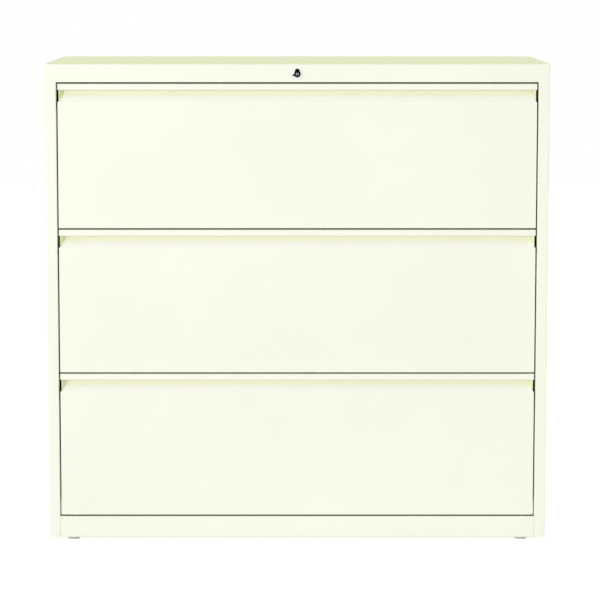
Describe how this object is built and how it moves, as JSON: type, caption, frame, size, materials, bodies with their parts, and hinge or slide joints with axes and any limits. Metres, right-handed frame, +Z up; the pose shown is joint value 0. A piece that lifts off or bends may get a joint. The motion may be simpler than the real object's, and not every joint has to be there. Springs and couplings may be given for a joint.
{
  "type": "lateral filing cabinet",
  "caption": "Wide, shallow steel filing cabinet with full-width drawers that have a recessed pull under a lip, a keyed lock over them, and levelling glides.",
  "frame": {"origin": "on the floor, under the middle of the case", "axes": "+X to the right seen from the front, the drawers face -Y and open along -Y, +Z up"},
  "size_m": [1.0668, 0.4754, 1.022],
  "materials": {
    "ivory_powder_coat": "satin",
    "zinc_steel": "satin",
    "bare_steel": "rough",
    "ivory_plastic": "satin",
    "lock_chrome": "polished",
    "lock_black": "satin",
    "glide_nylon": "matte"
  },
  "bodies": {
    "case": {"back_panel": "ivory_powder_coat", "base_front_rail": "ivory_powder_coat", "base_rear_rail": "ivory_powder_coat", "counterweight": "bare_steel", "drawer_1_outer_slide_left": "zinc_steel", "drawer_1_outer_slide_right": "zinc_steel", "drawer_2_outer_slide_left": "zinc_steel", "drawer_2_outer_slide_right": "zinc_steel", "drawer_3_outer_slide_left": "zinc_steel", "drawer_3_outer_slide_right": "zinc_steel", "front_left_post": "zinc_steel", "front_right_post": "zinc_steel", "glide_nuts": "zinc_steel", "lock_bezel": "lock_chrome", "lock_guides": "zinc_steel", "lock_housing": "lock_black", "rear_left_post": "zinc_steel", "rear_right_post": "zinc_steel", "side_panel_left": "ivory_powder_coat", "side_panel_right": "ivory_powder_coat", "top_panel": "ivory_powder_coat"},
    "drawer_1": {"drawer_1_back": "ivory_powder_coat", "drawer_1_front": "ivory_powder_coat", "drawer_1_front_liner": "ivory_powder_coat", "drawer_1_hang_rails": "ivory_powder_coat", "drawer_1_inner_slide_left": "zinc_steel", "drawer_1_inner_slide_right": "zinc_steel", "drawer_1_lock_catch": "zinc_steel", "drawer_1_pull_end_caps": "ivory_plastic", "drawer_1_tray": "ivory_powder_coat"},
    "drawer_1_middle_slides": {"drawer_1_middle_slides": "zinc_steel"},
    "drawer_2": {"drawer_2_back": "ivory_powder_coat", "drawer_2_front": "ivory_powder_coat", "drawer_2_front_liner": "ivory_powder_coat", "drawer_2_hang_rails": "ivory_powder_coat", "drawer_2_inner_slide_left": "zinc_steel", "drawer_2_inner_slide_right": "zinc_steel", "drawer_2_lock_catch": "zinc_steel", "drawer_2_pull_end_caps": "ivory_plastic", "drawer_2_tray": "ivory_powder_coat"},
    "drawer_2_middle_slides": {"drawer_2_middle_slides": "zinc_steel"},
    "drawer_3": {"drawer_3_back": "ivory_powder_coat", "drawer_3_front": "ivory_powder_coat", "drawer_3_front_liner": "ivory_powder_coat", "drawer_3_hang_rails": "ivory_powder_coat", "drawer_3_inner_slide_left": "zinc_steel", "drawer_3_inner_slide_right": "zinc_steel", "drawer_3_lock_catch": "zinc_steel", "drawer_3_pull_end_caps": "ivory_plastic", "drawer_3_tray": "ivory_powder_coat"},
    "drawer_3_middle_slides": {"drawer_3_middle_slides": "zinc_steel"},
    "front_left_glide": {"front_left_glide": "glide_nylon"},
    "front_right_glide": {"front_right_glide": "glide_nylon"},
    "lock_bar": {"lock_bar": "zinc_steel", "lock_bar_lugs": "zinc_steel"},
    "lock_plug": {"lock_cam": "zinc_steel", "lock_plug": "lock_chrome"},
    "lock_link": {"lock_link": "zinc_steel"},
    "rear_left_glide": {"rear_left_glide": "glide_nylon"},
    "rear_right_glide": {"rear_right_glide": "glide_nylon"}
  },
  "joints": [
    {"name": "drawer_1_slide", "type": "slide", "parent": "case", "child": "drawer_1", "axis": [0, -1, 0], "range_m": [0, 0.4]},
    {"name": "drawer_1_middle_travel", "type": "slide", "parent": "case", "child": "drawer_1_middle_slides", "axis": [0, -1, 0], "range_m": [0, 0.2]},
    {"name": "drawer_2_slide", "type": "slide", "parent": "case", "child": "drawer_2", "axis": [0, -1, 0], "range_m": [0, 0.4]},
    {"name": "drawer_2_middle_travel", "type": "slide", "parent": "case", "child": "drawer_2_middle_slides", "axis": [0, -1, 0], "range_m": [0, 0.2]},
    {"name": "drawer_3_slide", "type": "slide", "parent": "case", "child": "drawer_3", "axis": [0, -1, 0], "range_m": [0, 0.4]},
    {"name": "drawer_3_middle_travel", "type": "slide", "parent": "case", "child": "drawer_3_middle_slides", "axis": [0, -1, 0], "range_m": [0, 0.2]},
    {"name": "lock_bar_travel", "type": "slide", "parent": "case", "child": "lock_bar", "axis": [0, 0, -1], "range_m": [0, 0.01273]},
    {"name": "lock_link_travel", "type": "slide", "parent": "case", "child": "lock_link", "axis": [1, 0, 0], "range_m": [0, 0.01273]},
    {"name": "lock_turn", "type": "hinge", "parent": "case", "child": "lock_plug", "pos_m": [0, -0.2365, 1.001], "axis": [0, -1, 0], "range_deg": [0, 90]},
    {"name": "front_left_glide_turn", "type": "hinge", "parent": "case", "child": "front_left_glide", "pos_m": [-0.482, -0.2205, 0], "axis": [0, 0, 1], "continuous": true},
    {"name": "front_right_glide_turn", "type": "hinge", "parent": "case", "child": "front_right_glide", "pos_m": [0.482, -0.2205, 0], "axis": [0, 0, 1], "continuous": true},
    {"name": "rear_left_glide_turn", "type": "hinge", "parent": "case", "child": "rear_left_glide", "pos_m": [-0.482, 0.2185, 0], "axis": [0, 0, 1], "continuous": true},
    {"name": "rear_right_glide_turn", "type": "hinge", "parent": "case", "child": "rear_right_glide", "pos_m": [0.482, 0.2185, 0], "axis": [0, 0, 1], "continuous": true}
  ],
  "couplings": [
    {"joint": "drawer_1_middle_travel", "follows": "drawer_1_slide", "ratio": 0.5},
    {"joint": "drawer_2_middle_travel", "follows": "drawer_2_slide", "ratio": 0.5},
    {"joint": "drawer_3_middle_travel", "follows": "drawer_3_slide", "ratio": 0.5},
    {"joint": "lock_link_travel", "follows": "lock_bar_travel", "ratio": 1},
    {"joint": "lock_turn", "follows": "lock_bar_travel", "rad_per_m": 123.41}
  ]
}
